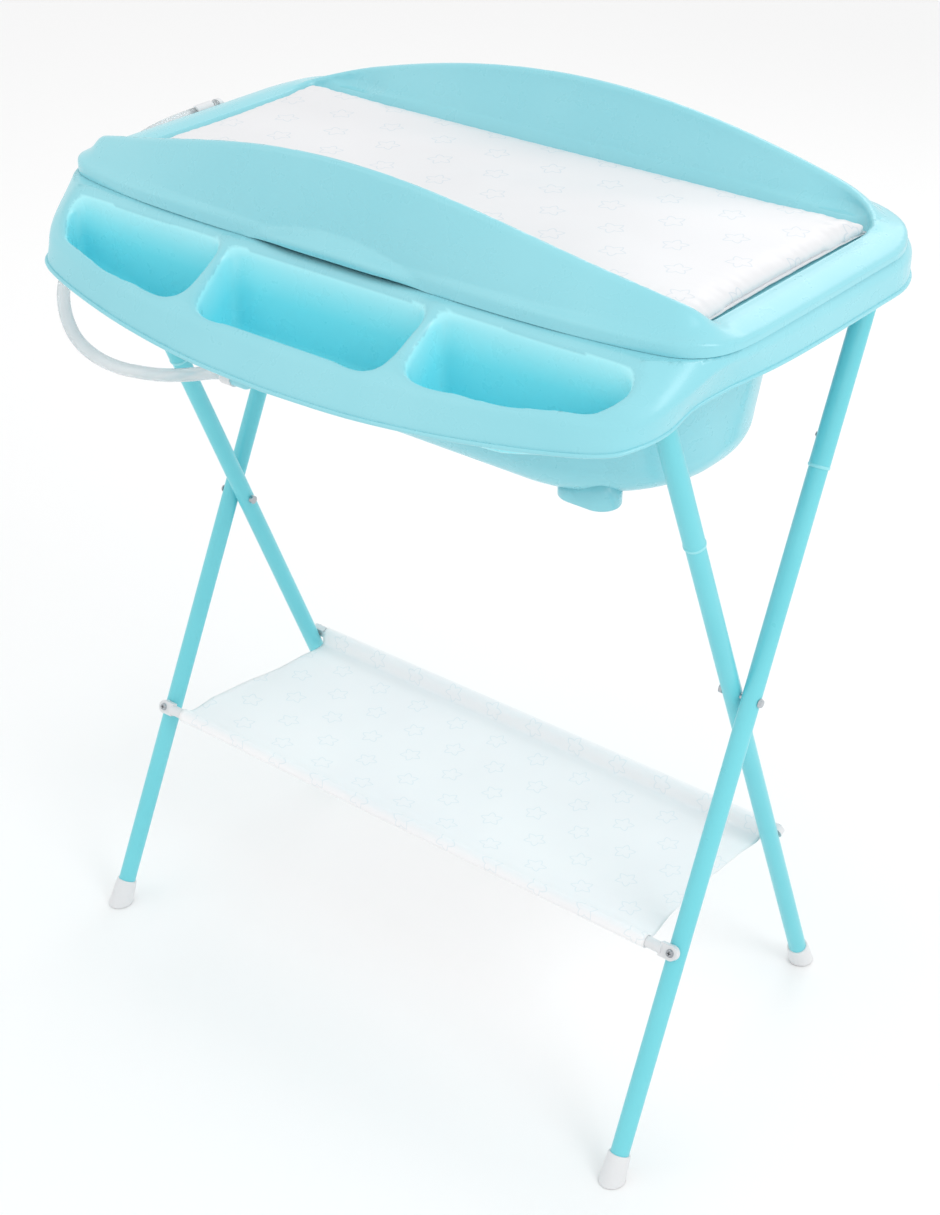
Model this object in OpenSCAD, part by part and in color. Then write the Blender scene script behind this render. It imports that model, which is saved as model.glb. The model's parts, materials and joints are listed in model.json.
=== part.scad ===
// Baby bath with a hinged changing top and pad, on a folding X-frame.
// Millimetres. +Z is up, the front is -Y, and the origin is on the floor
// under the middle of the bath.

/* [Bath] */
// Half of the overall width of the bath rim
rim_half_w = 400; // [396:1:404]
// Half of the overall depth of the bath rim
rim_half_d = 270; // [268:1:272]
// Height of the flat top of the rim above the floor
deck_z = 908; // [907:1:909]
// Wall thickness of the moulded parts
wall = 3; // [2.5:0.5:3.5]
// Height of the bowl's floor
bowl_floor_z = 709; // [707:1:714]
// Depth of the pockets below the rim's flat top
pocket_depth = 98; // [90:1:104]

/* [Changing top] */
// Half of the pad's length along X
pad_half_l = 348; // [340:1:350]
// Front edge of the pad
pad_front_y = -113; // [-115:1:-110]
// Back edge of the pad
pad_back_y = 197; // [190:1:199]
// Thickness of the pad
pad_h = 16; // [12:1:22]

/* [Frame] */
// Outside diameter of the lower leg tubes
tube_d = 20; // [18:0.5:20]
// Outside diameter of the upper leg tubes
sleeve_d = 21.6; // [21.4:0.1:22]
// Height of the pivot where the legs cross
pivot_z = 474.5; // [470:0.5:480]
// Height of the inner legs' pivots under the bath
top_pivot_z = 880; // [878:1:881]
// Diameter of the shelf rods
rod_d = 12; // [10:1:13]

/* [Drain] */
// Outside diameter of the drain hose
hose_d = 14; // [12:1:15]

/* [Hidden] */

aqua = "#a8dce6";
tube_blue = "#7fcbd2";
white = "#f2f3f5";
silver = "#b9bdc2";
clear = "#dfe6ea";

$fn = 32;

// --- places on the legs -------------------------------------------------
pivot_y = 32;
outer_slope = 0.469;      // outer legs: run along Y for each unit of height
inner_slope = -0.424;     // inner legs: the same, leaning the other way
outer_splay = -0.018;     // outer legs: run along X for each unit of height
inner_splay = -0.002;
outer_x = 357.4;          // leg centre lines at the crossing pivot
inner_x = 335.5;
outer_top_z = 872;
outer_joint_z = 692.5;    // where each lower tube enters its upper tube
inner_joint_z = 681.5;
outer_screw_z = 719;
inner_screw_z = 727;
tube_overlap = 60;
tube_wall = 1.5;
top_pivot_y = pivot_y + inner_slope * (top_pivot_z - pivot_z);
top_pivot_x = inner_x + inner_splay * (top_pivot_z - pivot_z);

function outer_at(z) =
    [outer_x + outer_splay * (z - pivot_z), pivot_y + outer_slope * (z - pivot_z), z];
function inner_at(z) =
    [inner_x + inner_splay * (z - pivot_z), pivot_y + inner_slope * (z - pivot_z), z];

// --- curves -------------------------------------------------------------
function spline_point(p0, p1, p2, p3, t) = 0.5 * (2 * p1 + (p2 - p0) * t
    + (2 * p0 - 5 * p1 + 4 * p2 - p3) * t * t + (3 * p1 - p0 - 3 * p2 + p3) * t * t * t);

// A smooth curve through the points p, with n steps between neighbours
function smooth(p, n) = let (m = len(p) - 1) concat(
    [for (i = [0 : m - 1]) for (k = [0 : n - 1])
        spline_point(p[max(i - 1, 0)], p[i], p[i + 1], p[min(i + 2, m)], k / n)],
    [p[m]]);

function running_length(p) =
    [for (i = 0, s = 0; i < len(p); i = i + 1, s = s + (i < len(p) ? norm(p[i] - p[i - 1]) : 0)) s];

function find_span(s, v, i = 1) = i >= len(s) - 1 || s[i] >= v ? i : find_span(s, v, i + 1);

// n + 1 points spaced evenly along the curve p
function even_points(p, n) = let (s = running_length(p), total = s[len(s) - 1])
    [for (k = [0 : n]) let (v = total * k / n, i = find_span(s, v))
        p[i - 1] + (p[i] - p[i - 1]) * (v - s[i - 1]) / (s[i] - s[i - 1])];

// A closed ring from the right half of an outline, front centre to back centre
function ring(half) = concat(half, [for (i = [len(half) - 2 : -1 : 1])
    [-half[i].x, half[i].y, half[i].z]]);

function arc(cx, cy, z, r, a0, a1, n = 10) =
    [for (i = [0 : n]) let (a = a0 + (a1 - a0) * i / n) [cx + r * cos(a), cy + r * sin(a), z]];

// --- outlines of the bath, right half ------------------------------------
half_steps = 26;
back_corner_r = 105;
back_corner_x = rim_half_w - back_corner_r;
back_corner_y = rim_half_d - back_corner_r;

// Lower edge of the rim: it dips along the front, under the pockets
lip_half = even_points(concat(smooth([
    [0, -270, 818], [100, -267, 820], [200, -255, 825], [290, -236, 832], [343, -218, 838],
    [361, -193, 842], [368, -162, 846], [370, -128, 856], [382, -97, 866], [391, -75, 871],
    [398, -30, 873], [400, 40, 873], [400, back_corner_y, 873]], 4),
    arc(back_corner_x, back_corner_y, 873, back_corner_r, 9, 90), [[0, rim_half_d, 873]]),
    half_steps);

// Upper edge of the rim's outer face
brow_half = even_points(concat(smooth([
    [0, -252, 858], [100, -250, 859], [200, -241, 862], [290, -226, 866], [345, -207, 868],
    [367, -187, 871], [379, -152, 886], [387, -115, 901], [396, -80, 904], [399, -40, 905],
    [400, 40, 905], [400, back_corner_y, 905]], 4),
    arc(back_corner_x, back_corner_y, 905, back_corner_r, 9, 90), [[0, rim_half_d, 905]]),
    half_steps);

shelf_edge_y = -169;      // where the level deck breaks into the pocket tray
function deck_half(drop) = [for (p = brow_half)
    [p.x * 0.985, min(max(p.y + 2, shelf_edge_y), rim_half_d - 5), deck_z - drop]];

// Rounded rectangle of the bowl at height z
bowl_y = pivot_y;
function bowl_half(a, b, r, z) = even_points(concat(
    [[0, bowl_y - b, z]], arc(a - r, bowl_y - b + r, z, r, -90, 0),
    arc(a - r, bowl_y + b - r, z, r, 0, 90), [[0, bowl_y + b, z]]), half_steps);

fillet_r = 34;
function bowl_fillet(grow, steps = 4) = [for (i = [0 : steps - 1])
    let (a = 90 * i / steps, inset = fillet_r * (1 - sin(a)))
    ring(bowl_half(309 - inset + grow, 143 - inset + grow, 134 - inset + grow,
        bowl_floor_z - grow + fillet_r * (1 - cos(a))))];

function bowl_rings(grow) = concat(bowl_fillet(grow), [
    ring(bowl_half(309 + grow, 143 + grow, 134 + grow, bowl_floor_z + fillet_r)),
    ring(bowl_half(312 + grow, 151 + grow, 108 + grow, 850)),
    ring(bowl_half(315 + grow, 155 + grow, 114 + grow, 895 - grow))]);

function reverse(v) = [for (i = [len(v) - 1 : -1 : 0]) v[i]];

function sunk(half, inward, drop) = [for (p = half)
    [p.x * (1 - inward / rim_half_w), p.y * (1 - inward / rim_half_d), p.z - drop]];

// Bowl floor, wall, rim, skirt, and back under the rim to the bowl's underside
tub_rings = concat(
    bowl_rings(0),
    [ring(bowl_half(319, 160, 122, deck_z - 1)), ring(deck_half(0)), ring(brow_half),
     ring(lip_half), ring(sunk(lip_half, wall, 0)), ring(sunk(brow_half, wall, wall)),
     ring([for (p = deck_half(wall)) [p.x * 0.99, max(p.y, shelf_edge_y + wall) * 0.99, p.z]])],
    [ring(bowl_half(321, 162, 124, deck_z - wall - 1))],
    reverse(bowl_rings(wall)));

// Skin over closed rings of equal length, with a flat cap at each end
module skin(rings) {
    n = len(rings[0]);
    m = len(rings);
    points = [for (r = rings) for (p = r) p];
    sides = [for (j = [0 : m - 2]) for (i = [0 : n - 1]) let (k = (i + 1) % n)
        each [[j * n + i, (j + 1) * n + i, (j + 1) * n + k], [j * n + i, (j + 1) * n + k, j * n + k]]];
    caps = [[for (i = [0 : n - 1]) i], [for (i = [n - 1 : -1 : 0]) (m - 1) * n + i]];
    polyhedron(points, concat(sides, caps), 10);
}

// --- pockets ---------------------------------------------------------------
// Corners of each opening, front to back: x, y, z of the tray's surface there
middle_pocket = [[-110, -240, 864], [110, -240, 864], [118, -182, 900], [-118, -182, 900]];
right_pocket = [[142, -234, 867], [312, -206, 877], [338, -180, 896], [138, -182, 900]];
left_pocket = [for (p = right_pocket) [-p.x, p.y, p.z]];
pocket_corner_r = 16;
pocket_floor_z = deck_z - pocket_depth;

function middle_of(c) = (c[0] + c[1] + c[2] + c[3]) / 4;
function pocket_corner(c, i, shrink) = let (m = middle_of(c), d = m - c[i])
    c[i] + [sign(d.x) * shrink, sign(d.y) * min(shrink, abs(d.y) - 1), 0];

// grow is the wall around the hollow; lift raises the top through the tray
module pocket_shape(corners, grow, lift) {
    hull() {
        for (i = [0 : 3]) {
            top = pocket_corner(corners, i, pocket_corner_r);
            translate([top.x, top.y, top.z + lift])
                cylinder(h = 1, r = pocket_corner_r + grow, $fn = 16);
            low = pocket_corner(corners, i, pocket_corner_r + 5);
            translate([low.x, low.y, pocket_floor_z - grow])
                cylinder(h = 1, r = pocket_corner_r - 3 + grow, $fn = 16);
        }
    }
}

module bath_tub() {
    boss_x = 224;
    boss_y = -68;
    color(aqua) difference() {
        union() {
            skin(reverse(tub_rings));
            for (c = [left_pocket, middle_pocket, right_pocket])
                pocket_shape(c, wall, -1.5);
            difference() {
                hull() {
                    for (dx = [-13, 13])
                        translate([boss_x + dx, boss_y, 698]) cylinder(h = 20, r = 20, $fn = 24);
                }
                skin(bowl_rings(1));
            }
        }
        for (c = [left_pocket, middle_pocket, right_pocket])
            pocket_shape(c, 0, 12);
    }
}

// --- parts under the rim ----------------------------------------------------
under_deck_z = deck_z - wall - 1.2;

// Plan of a rail, with its outer back corner cut off to clear the rim
module rail_plan(x0, x1, front, back, cut) {
    polygon([[x0, front], [x1, front], [x1, back - cut], [x1 - cut, back], [x0, back]]);
}
module leg_rail() {
    rail_front = -122;
    rail_back = 238;
    rail_in = 333.5;
    rail_out = 367.5;
    roof_z = 889;
    lip_z = 876;
    color(aqua) difference() {
        translate([0, 0, lip_z]) linear_extrude(under_deck_z - lip_z)
            rail_plan(rail_in, rail_out, rail_front, rail_back, 14);
        translate([0, 0, lip_z - 1]) linear_extrude(roof_z - lip_z + 1)
            rail_plan(rail_in + wall, rail_out - wall, rail_front - 1, rail_back - wall, 12.5);
    }
}
module leg_rail_right() { leg_rail(); }
module leg_rail_left() { mirror([1, 0, 0]) leg_rail(); }

pin_d = 8;
cheek_gap = sleeve_d / 2 + 1.2;
cheek_t = 4;

module leg_bracket() {
    plate_z = 896;
    color(aqua) difference() {
        union() {
            translate([top_pivot_x - cheek_gap - cheek_t, top_pivot_y - 14, plate_z])
                cube([2 * (cheek_gap + cheek_t), 28, under_deck_z - plate_z]);
            for (dx = [-cheek_gap - cheek_t, cheek_gap]) {
                translate([top_pivot_x + dx, top_pivot_y - 14, top_pivot_z])
                    cube([cheek_t, 28, plate_z - top_pivot_z + 1]);
                translate([top_pivot_x + dx, top_pivot_y, top_pivot_z])
                    rotate([0, 90, 0]) cylinder(h = cheek_t, r = 14);
            }
        }
        translate([top_pivot_x - 30, top_pivot_y, top_pivot_z])
            rotate([0, 90, 0]) cylinder(h = 60, d = pin_d + 0.1);
    }
}
module leg_bracket_right() { leg_bracket(); }
module leg_bracket_left() { mirror([1, 0, 0]) leg_bracket(); }

module bracket_pins() {
    reach = cheek_gap + cheek_t;
    color(silver) for (side = [0, 1]) mirror([side, 0, 0])
        translate([top_pivot_x, top_pivot_y, top_pivot_z]) rotate([0, 90, 0]) {
            translate([0, 0, -reach - 1]) cylinder(h = 2 * reach + 2, d = pin_d);
            translate([0, 0, reach + 0.2]) cylinder(h = 2, d = 13);
            translate([0, 0, -reach - 2.2]) cylinder(h = 2, d = 13);
        }
}

// --- hinges of the changing top ---------------------------------------------
hinge_x = 200;
hinge_y = rim_half_d - 6.5;
hinge_z = deck_z + 6.5;
knuckle_r = 5;
hinge_pin_d = 4;

module knuckle(x0, length) {
    translate([x0, hinge_y, hinge_z]) rotate([0, 90, 0]) cylinder(h = length, r = knuckle_r);
}
module hinge_bore() {
    translate([-40, hinge_y, hinge_z]) rotate([0, 90, 0]) cylinder(h = 80, d = hinge_pin_d + 0.1);
}

module hinge_bracket() {
    color(aqua) difference() {
        union() {
            for (x0 = [-23, 13]) {
                knuckle(x0, 10);
                translate([x0, hinge_y - 3, deck_z + 0.2])
                    cube([10, 6, hinge_z - deck_z - 3.2]);
            }
            translate([-23, hinge_y - 3.5, deck_z + 0.2]) cube([46, 7, 0.8]);
        }
        hinge_bore();
    }
}
module hinge_bracket_right() { translate([hinge_x, 0, 0]) hinge_bracket(); }
module hinge_bracket_left() { translate([-hinge_x, 0, 0]) hinge_bracket(); }

module hinge_knuckle() {
    color(aqua) difference() {
        union() {
            knuckle(-12, 24);
            translate([-12, 250.5, hinge_z - 4]) cube([24, hinge_y - 250.5, 8]);
        }
        hinge_bore();
    }
}
module hinge_knuckle_right() { translate([hinge_x, 0, 0]) hinge_knuckle(); }
module hinge_knuckle_left() { translate([-hinge_x, 0, 0]) hinge_knuckle(); }

module hinge_pins() {
    color(silver) for (x = [-hinge_x, hinge_x]) translate([x, hinge_y, hinge_z])
        rotate([0, 90, 0]) {
            translate([0, 0, -24]) cylinder(h = 48, d = hinge_pin_d);
            translate([0, 0, 23.2]) cylinder(h = 1.2, d = 7);
            translate([0, 0, -24.4]) cylinder(h = 1.2, d = 7);
        }
}

// --- changing top --------------------------------------------------------------
top_base_z = deck_z + 1;
floor_z = deck_z + 4;
end_x = 399;

function front_foot_y(u) = u < 0.97
    ? -167.4 - 5.1 * u ^ 2 + 34.4 * u ^ 4
    : -140 + 80 * ((u - 0.97) / 0.03) ^ 2;
back_r = 108;
function back_foot_y(x) = abs(x) < end_x - back_r ? 262
    : 262 - back_r + sqrt(max(back_r ^ 2 - (abs(x) - end_x + back_r) ^ 2, 0));

// Height of the side walls: full between the ends, rolled down at each end
function roll(x) = let (t = min(max((396 - abs(x)) / 26, 0), 1)) sqrt(1 - (1 - t) ^ 2);
function front_crest(x) = let (u = abs(x) / 400)
    [x, max(-156.4 + 41.9 * u ^ 2, front_foot_y(u) + 5),
     top_base_z + 4 + (1002.3 - top_base_z - 4 - 109.6 * u ^ 2 + 48.2 * u ^ 4) * roll(x)];
function back_crest(x) = let (u = abs(x) / 400)
    [x, min(240.9 - 6.1 * u ^ 2, back_foot_y(x) - 6),
     top_base_z + 4 + (983.9 - top_base_z - 4 - 82.9 * u ^ 2 + 12.7 * u ^ 4) * roll(x)];

// Cross-section at x: outer skin front to back, then the underside back again
function top_section(x) = let (
    f = front_crest(x), b = back_crest(x),
    ff = front_foot_y(abs(x) / 400), bf = back_foot_y(x),
    inner_f = max(pad_front_y - 4, f.y + 9), inner_b = min(pad_back_y + 4, b.y - 9),
    z1 = max(f.z, floor_z + 3), z2 = max(b.z, floor_z + 2.5),
    t = wall)
    [[x, ff, top_base_z], [x, ff * 0.6 + f.y * 0.4 - 1.5, top_base_z + (z1 - top_base_z) * 0.55],
     [x, f.y - 2, z1 - 5 * roll(x)], [x, f.y + 1, z1 - 1], [x, f.y + 5, z1], [x, f.y + 8, z1 - 2],
     [x, f.y * 0.55 + inner_f * 0.45 + 4, floor_z + (z1 - floor_z) * 0.5],
     [x, inner_f, floor_z + 1.5], [x, inner_f + 3, floor_z],
     [x, inner_b - 3, floor_z], [x, inner_b, floor_z + 1.5],
     [x, b.y * 0.55 + inner_b * 0.45 - 4, floor_z + (z2 - floor_z) * 0.5],
     [x, b.y - 8, z2 - 2], [x, b.y - 5, z2], [x, b.y - 1, z2 - 1], [x, b.y + 2, z2 - 5 * roll(x)],
     [x, bf * 0.6 + b.y * 0.4 + 1.5, top_base_z + (z2 - top_base_z) * 0.55],
     [x, bf, top_base_z],
     [x, bf - t, top_base_z], [x, b.y - 3, max(z2 - 9, top_base_z + 1)],
     [x, inner_b + t, top_base_z + 0.6], [x, inner_b - 3, top_base_z + 0.3],
     [x, inner_f + 3, top_base_z + 0.3], [x, inner_f - t, top_base_z + 0.6],
     [x, f.y + 3, max(z1 - 9, top_base_z + 1)], [x, ff + t, top_base_z]];

station_count = 34;
function station(i) = end_x * sin(90 * (2 * i / station_count - 1)) * 0.35
    + end_x * (2 * i / station_count - 1) * 0.65;

module changer_top() {
    color(aqua) difference() {
        skin([for (i = [station_count : -1 : 0]) top_section(station(i))]);
        for (x = [-hinge_x, hinge_x]) {
            translate([x - 27, 254, top_base_z - 2]) cube([54, 20, 13]);
            translate([x - 12.1, 250.4, hinge_z - 4.1]) cube([24.2, 8, 8.2]);
        }
        // finger notch under the front edge
        translate([-95, -180, top_base_z - 1]) cube([190, 18, 7]);
    }
}

module changer_pad() {
    corner = 14;
    color(white) hull() {
        for (x = [-pad_half_l + corner, pad_half_l - corner])
            for (y = [pad_front_y + corner, pad_back_y - corner])
                translate([x, y, floor_z + 0.3]) {
                    cylinder(h = pad_h - 5, r = corner);
                    translate([0, 0, pad_h - 5]) cylinder(h = 3, r1 = corner, r2 = corner - 5);
                }
    }
}

// --- legs ----------------------------------------------------------------------
// Turn +Z to the direction from a to b, starting at a
module along(a, b) {
    d = b - a;
    translate(a) rotate([0, acos(d.z / norm(d)), atan2(d.y, d.x)]) children();
}
// A screw or its hole at point p of a leg, on the side that faces the other legs
module cross_screw(p, d, head_d, from, to) {
    translate(p) rotate([0, -90, 0]) {
        translate([0, 0, from]) cylinder(h = to - from, d = d);
        if (head_d > 0) translate([0, 0, to]) cylinder(h = 1.6, d1 = head_d, d2 = head_d - 2);
    }
}

bolt_d = 6;
module pivot_hole() {
    translate([inner_x - 30, pivot_y, pivot_z]) rotate([0, 90, 0])
        cylinder(h = 70, d = bolt_d + 0.1);
}

// Hole in a leg for the screw through the end of a shelf rod
module rod_screw_hole(leg, y, z, slope, turn) {
    translate([leg.x, y, z]) rotate([90 - atan(slope) + turn, 0, 0])
        translate([0, 0, -12]) cylinder(h = 12, d = 5.1);
}

joint_screw_d = 4;
module outer_lower() {
    foot = outer_at(4);
    end = outer_at(outer_joint_z + tube_overlap);
    length = norm(end - foot);
    color(tube_blue) difference() {
        along(foot, end) cylinder(h = length, d = tube_d);
        along(foot, end) translate([0, 0, -1]) cylinder(h = length + 2, d = tube_d - 2 * tube_wall);
        pivot_hole();
        rod_screw_hole(outer_at(front_rod_z), front_rod_y, front_rod_z, outer_slope, 0);
        cross_screw(outer_at(outer_screw_z), joint_screw_d + 0.1, 0, 0, 20);
    }
}
module outer_upper() {
    low = outer_at(outer_joint_z);
    end = outer_at(outer_top_z);
    length = norm(end - low);
    color(tube_blue) difference() {
        along(low, end) cylinder(h = length, d = sleeve_d);
        along(low, end) translate([0, 0, -1]) cylinder(h = length + 2, d = tube_d + 0.1);
        cross_screw(outer_at(outer_screw_z), joint_screw_d + 0.1, 0, 0, 20);
    }
}
module inner_lower() {
    foot = inner_at(4);
    end = inner_at(inner_joint_z + tube_overlap);
    length = norm(end - foot);
    color(tube_blue) difference() {
        along(foot, end) cylinder(h = length, d = tube_d);
        along(foot, end) translate([0, 0, -1]) cylinder(h = length + 2, d = tube_d - 2 * tube_wall);
        pivot_hole();
        rod_screw_hole(inner_at(back_rod_z), back_rod_y, back_rod_z, inner_slope, 180);
        cross_screw(inner_at(inner_screw_z), joint_screw_d + 0.1, 0, 0, 20);
    }
}
module inner_upper() {
    low = inner_at(inner_joint_z);
    end = inner_at(top_pivot_z + 8);
    length = norm(end - low);
    color(tube_blue) difference() {
        along(low, end) cylinder(h = length, d = sleeve_d);
        along(low, end) translate([0, 0, -1]) cylinder(h = length + 2, d = tube_d + 0.1);
        cross_screw(inner_at(inner_screw_z), joint_screw_d + 0.1, 0, 0, 20);
        translate([top_pivot_x - 30, top_pivot_y, top_pivot_z])
            rotate([0, 90, 0]) cylinder(h = 60, d = pin_d + 0.1);
    }
}
module outer_leg_lower_right() { outer_lower(); }
module outer_leg_lower_left() { mirror([1, 0, 0]) outer_lower(); }
module outer_leg_upper_right() { outer_upper(); }
module outer_leg_upper_left() { mirror([1, 0, 0]) outer_upper(); }
module inner_leg_lower_right() { inner_lower(); }
module inner_leg_lower_left() { mirror([1, 0, 0]) inner_lower(); }
module inner_leg_upper_right() { inner_upper(); }
module inner_leg_upper_left() { mirror([1, 0, 0]) inner_upper(); }

module outer_joint_screws() {
    color(silver) for (side = [0, 1]) mirror([side, 0, 0])
        cross_screw(outer_at(outer_screw_z), joint_screw_d, 6.4, 5, sleeve_d / 2 + 0.05);
}
module inner_joint_screws() {
    color(silver) for (side = [0, 1]) mirror([side, 0, 0])
        cross_screw(inner_at(inner_screw_z), joint_screw_d, 6.4, 5, sleeve_d / 2 + 0.05);
}

// A flared cap on the end of a lower tube, cut level where it stands
module foot(low, high) {
    color(white) difference() {
        along(low, high) translate([0, 0, -22]) rotate_extrude()
            polygon([[0, 0], [14.4, 0], [13.9, 22], [13, 38], [12.1, 50], [11.3, 51.5],
                [tube_d / 2 + 0.05, 51.5], [tube_d / 2 + 0.05, 25.9], [0, 25.9]]);
        translate([low.x - 60, low.y - 60, -60]) cube([120, 120, 60]);
    }
}
module outer_foot_right() { foot(outer_at(0), outer_at(100)); }
module outer_foot_left() { mirror([1, 0, 0]) foot(outer_at(0), outer_at(100)); }
module inner_foot_right() { foot(inner_at(0), inner_at(100)); }
module inner_foot_left() { mirror([1, 0, 0]) foot(inner_at(0), inner_at(100)); }

// Plastic end that slides along the rail under the rim
module leg_glide() {
    top = outer_at(outer_top_z);
    color(white) along(top, outer_at(outer_top_z + 100)) {
        translate([0, 0, 0.05]) cylinder(h = 4, d = 24);
        translate([0, 0, -30]) cylinder(h = 31, d = tube_d);
    }
}
module leg_glide_right() { leg_glide(); }
module leg_glide_left() { mirror([1, 0, 0]) leg_glide(); }

module pivot_bolts() {
    face_in = inner_x - tube_d / 2;
    face_out = outer_x + tube_d / 2;
    color(silver) for (side = [0, 1]) mirror([side, 0, 0])
        translate([0, pivot_y, pivot_z]) rotate([0, 90, 0]) {
            translate([0, 0, face_in - 3]) cylinder(h = face_out - face_in + 6, d = bolt_d);
            translate([0, 0, face_out + 0.3]) cylinder(h = 2.6, d1 = 10, d2 = 8);
            translate([0, 0, face_in - 4.2]) cylinder(h = 4, d = 9.5);
        }
}

// --- shelf -----------------------------------------------------------------------
front_rod_z = 236;
back_rod_z = 237;
rod_tab_t = 7;          // thickness of the flattened ends of the rods
rod_gap = 3.8;          // from a leg's surface to the middle of a rod
front_rod_y = outer_at(front_rod_z).y - (tube_d / 2 + rod_gap) / cos(atan(outer_slope));
back_rod_y = inner_at(back_rod_z).y + (tube_d / 2 + rod_gap) / cos(atan(inner_slope));

// A straight tube with a flat round-ended tab at each end, screwed to the legs
tab_w = 16;
tab_reach = 13;
module shelf_rod(leg, y, z, slope) {
    tilt = -atan(slope);
    rod_half = leg.x - tab_reach + 2.5;
    color(white) difference() {
        union() {
            translate([-rod_half, y, z]) rotate([0, 90, 0]) cylinder(h = 2 * rod_half, d = rod_d);
            for (side = [0, 1]) mirror([side, 0, 0])
                translate([leg.x, y, z]) rotate([90 + tilt, 0, 0])
                    translate([0, 0, -rod_tab_t / 2]) {
                        cylinder(h = rod_tab_t, d = tab_w);
                        translate([-tab_reach, -tab_w / 2 + 0.5, 0])
                            cube([tab_reach, tab_w - 1, rod_tab_t]);
                    }
        }
        for (x = [-leg.x, leg.x]) translate([x, y, z]) rotate([90 + tilt, 0, 0])
            translate([0, 0, -10]) cylinder(h = 20, d = 5.1);
    }
}
module rod_screws(leg, y, z, slope, turn) {
    tilt = -atan(slope);
    color(silver) for (x = [-leg.x, leg.x]) translate([x, y, z])
        rotate([90 + tilt + turn, 0, 0]) {
            translate([0, 0, -7.5]) cylinder(h = 11.6, d = 5);
            translate([0, 0, 3.6]) cylinder(h = 2.4, d1 = 9, d2 = 7);
        }
}
module shelf_front_rod() {
    shelf_rod(outer_at(front_rod_z), front_rod_y, front_rod_z, outer_slope);
}
module front_rod_screws() {
    rod_screws(outer_at(front_rod_z), front_rod_y, front_rod_z, outer_slope, 0);
}
module shelf_back_rod() {
    shelf_rod(inner_at(back_rod_z), back_rod_y, back_rod_z, inner_slope);
}
module back_rod_screws() {
    rod_screws(inner_at(back_rod_z), back_rod_y, back_rod_z, inner_slope, 180);
}

// Cloth slung between the rods: a shallow trough with a low hem at the back
shelf_half_w = 322;
shelf_t = 3;
shelf_drop = 14;
module shelf_fabric() {
    front = front_rod_y;
    back = back_rod_y;
    front_top = front_rod_z - rod_d / 2 - 0.4;
    back_top = back_rod_z - rod_d / 2 - 0.4;
    low_z = back_rod_z - shelf_drop;
    color(white) rotate([90, 0, 90]) translate([0, 0, -shelf_half_w])
        linear_extrude(2 * shelf_half_w)
            polygon([[front - 6, front_top], [front + 45, low_z - shelf_t],
                [back + 1, low_z - shelf_t], [back + 6, low_z], [back + 4, back_top],
                [back, back_top], [back, low_z], [front + 46, low_z], [front + 8, front_top]]);
}

// --- drain -----------------------------------------------------------------------
spigot_x = -120;
spigot_z = 757;
hose_front_y = -170;
spigot_root_y = -115.6;   // against the bowl's front wall

module drain_spigot() {
    bore = 9;
    color(aqua) difference() {
        union() {
            translate([spigot_x, spigot_root_y, spigot_z]) rotate([90, 0, 0])
                cylinder(h = spigot_root_y - hose_front_y, d = 17);
            translate([spigot_x, hose_front_y, spigot_z]) sphere(d = 17);
            translate([spigot_x, hose_front_y, spigot_z]) rotate([0, -90, 0])
                cylinder(h = 14, d = 17);
        }
        translate([spigot_x, spigot_root_y + 1, spigot_z]) rotate([90, 0, 0])
            cylinder(h = spigot_root_y + 1 - hose_front_y, d = bore);
        translate([spigot_x, hose_front_y, spigot_z]) rotate([0, -90, 0])
            cylinder(h = 20, d = bore);
    }
}

module hose_coupling() {
    color(white) translate([spigot_x - 14, hose_front_y, spigot_z]) rotate([0, -90, 0])
        difference() {
            cylinder(h = 13.8, d = 20);
            translate([0, 0, -1]) cylinder(h = 16, d = 9);
        }
}

// Hose from its coupling, round the left end of the rim, up to the clip
hose_route = [[-148, -170, 757], [-160, -170, 755], [-178, -170, 749], [-200, -170, 741],
    [-236, -170, 730], [-272, -170, 723], [-308, -170, 719], [-340, -170, 722],
    [-365, -170, 733], [-381, -168, 752], [-387, -165, 775], [-388, -158, 797],
    [-392, -145, 820], [-399, -125, 842], [-407, -98, 863], [-412, -66, 881],
    [-413, -34, 895], [-413, 0, 903], [-413, 30, 906], [-413, 65, 907], [-413, 100, 907]];

module drain_hose() {
    sides = 10;
    path = even_points(smooth(hose_route, 4), 30);
    last = len(path) - 1;
    color(clear) skin([for (j = [0 : last])
        let (t = j == 0 ? [-1, 0, 0] : j == last ? [0, 1, 0] : path[j + 1] - path[j - 1],
            d = t / norm(t), a = cross(d, [0, 0.3, 1]), e1 = a / norm(a), e2 = cross(d, e1))
        [for (i = [0 : sides - 1]) path[j]
            + hose_d / 2 * (cos(360 * i / sides) * e1 + sin(360 * i / sides) * e2)]]);
}

hose_end = hose_route[len(hose_route) - 1];
module hose_plug() {
    color(white) translate(hose_end) rotate([-90, 0, 0]) {
        translate([0, 0, 0.2]) cylinder(h = 5, d = 17);
        translate([0, 0, 5]) cylinder(h = 4, d = 10);
    }
}

module hose_clip() {
    clip_x = hose_end.x;
    clip_end_y = 90;
    color(white) translate([0, clip_end_y, 0]) rotate([90, 0, 0]) linear_extrude(24)
        difference() {
            union() {
                translate([clip_x, hose_end.z]) circle(d = hose_d + 5);
                translate([-rim_half_w - 4.4, 872]) square([4, 30]);
                translate([-rim_half_w - 4.4, 869.4]) square([9, 2.6]);
            }
            translate([clip_x, hose_end.z]) circle(d = hose_d + 0.8);
            translate([clip_x - 12, 911]) square([12, 10]);
        }
}

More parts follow.
